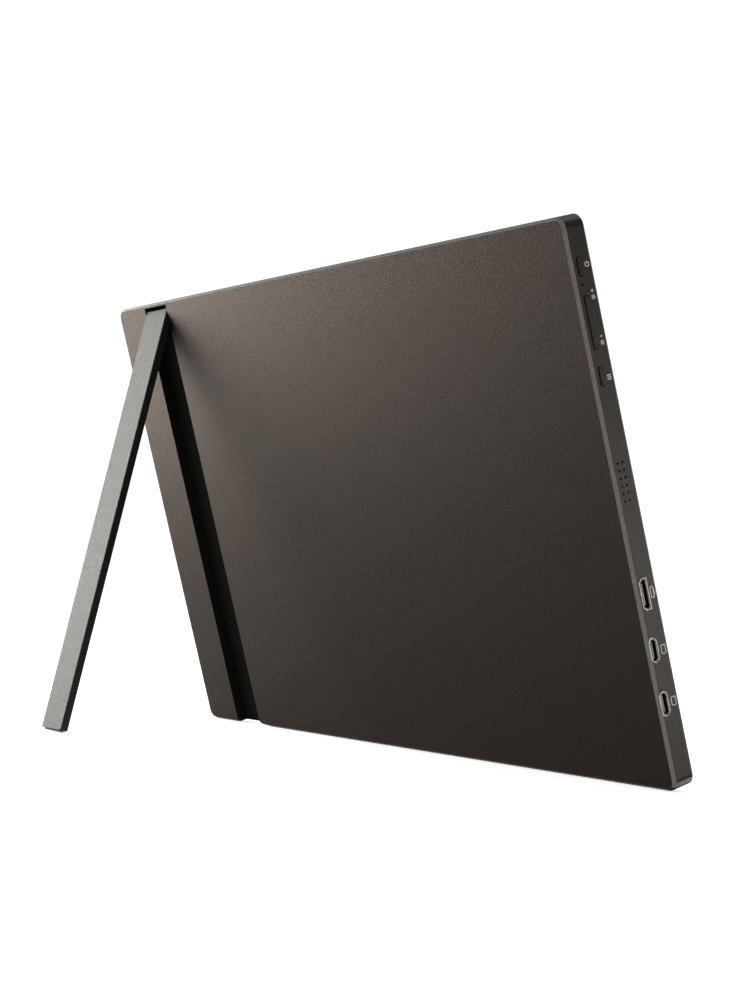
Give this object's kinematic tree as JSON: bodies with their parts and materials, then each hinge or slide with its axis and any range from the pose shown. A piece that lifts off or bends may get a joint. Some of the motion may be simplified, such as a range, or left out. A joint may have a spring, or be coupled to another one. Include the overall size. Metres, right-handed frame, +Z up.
{
  "type": "portable monitor",
  "caption": "Thin slab monitor in a bevelled metal tray that leans back on one flat rear leg, which folds into a trench; keys, speaker holes and sockets along one edge.",
  "frame": {"origin": "on the table, at the middle of the footprint of the case and the open leg", "axes": "+X to the right as the viewer of the screen sees it, +Y towards the back, +Z up"},
  "size_m": [0.3704, 0.1226, 0.2191],
  "materials": {
    "case_metal": "sand-blasted, dark grey anodised",
    "leg_metal": "sand-blasted, dark grey anodised",
    "key_metal": "matt dark grey",
    "bezel_plastic": "matt black",
    "screen_glass": "anti-glare, dark when off",
    "clear_acrylic": "clear",
    "white_sheet": "white",
    "steel": "bright rolled steel",
    "board_laminate": "green solder mask",
    "black_plastic": "moulded black",
    "foil": "amber film",
    "foam": "closed-cell foam",
    "foot_rubber": "matt black rubber"
  },
  "bodies": {
    "monitor": {"rear_cover": "case_metal", "front_bezel": "bezel_plastic", "lcd_front_glass": "screen_glass", "lcd_rear_glass": "screen_glass", "light_guide": "clear_acrylic", "light_pipe": "clear_acrylic", "reflector_sheet": "white_sheet", "optical_films": "white_sheet", "panel_frame": "white_sheet", "backlight_leds": "white_sheet", "indicator_led": "white_sheet", "panel_tray": "steel", "shield_can": "steel", "hinge_bracket_inner": "steel", "hinge_bracket_outer": "steel", "hinge_screws": "steel", "board_screws": "steel", "usb_c_shell_upper": "steel", "usb_c_shell_lower": "steel", "display_socket_shell": "steel", "main_board": "board_laminate", "button_board": "board_laminate", "panel_board": "board_laminate", "backlight_bar": "board_laminate", "board_chips": "black_plastic", "board_connectors": "black_plastic", "panel_connector": "black_plastic", "tact_switches": "black_plastic", "rocker_yoke": "black_plastic", "speaker_box_port_side": "black_plastic", "speaker_box_leg_side": "black_plastic", "speaker_driver_port_side": "black_plastic", "speaker_driver_leg_side": "black_plastic", "usb_c_tongue_upper": "black_plastic", "usb_c_tongue_lower": "black_plastic", "display_socket_tongue": "black_plastic", "panel_flexes": "foil", "button_ribbon": "foil", "display_cable": "foil", "speaker_leads": "foil", "insulator_film": "foil", "panel_adhesive": "foil", "bezel_gasket": "foam", "speaker_gasket_port_side": "foam", "speaker_gasket_leg_side": "foam"},
    "stand": {"stand_leg": "leg_metal", "leg_foot_pad": "foot_rubber", "hinge_pin": "steel", "retaining_rings": "steel"},
    "power_key": {"power_button": "key_metal"},
    "rocker_key": {"rocker_button": "key_metal"},
    "menu_key": {"menu_button": "key_metal"}
  },
  "joints": [
    {"name": "leg_swing", "type": "hinge", "parent": "monitor", "child": "stand", "pos_m": [0.0002, 0.00476, 0.21132], "axis": [1, 0, 0], "range_deg": [-30, 60]},
    {"name": "power_press", "type": "slide", "parent": "monitor", "child": "power_key", "axis": [1, 0, 0], "range_m": [0, 0.00035], "stiffness_N_per_m": 300, "springref_m": -0.0005},
    {"name": "menu_press", "type": "slide", "parent": "monitor", "child": "menu_key", "axis": [1, 0, 0], "range_m": [0, 0.00035], "stiffness_N_per_m": 300, "springref_m": -0.0005},
    {"name": "rocker_tilt", "type": "hinge", "parent": "monitor", "child": "rocker_key", "pos_m": [-0.1825, -0.00632, 0.17796], "axis": [0, 0.9632, -0.2688], "range_deg": [-1.3, 1.3], "stiffness_Nm_per_rad": 0.3}
  ]
}
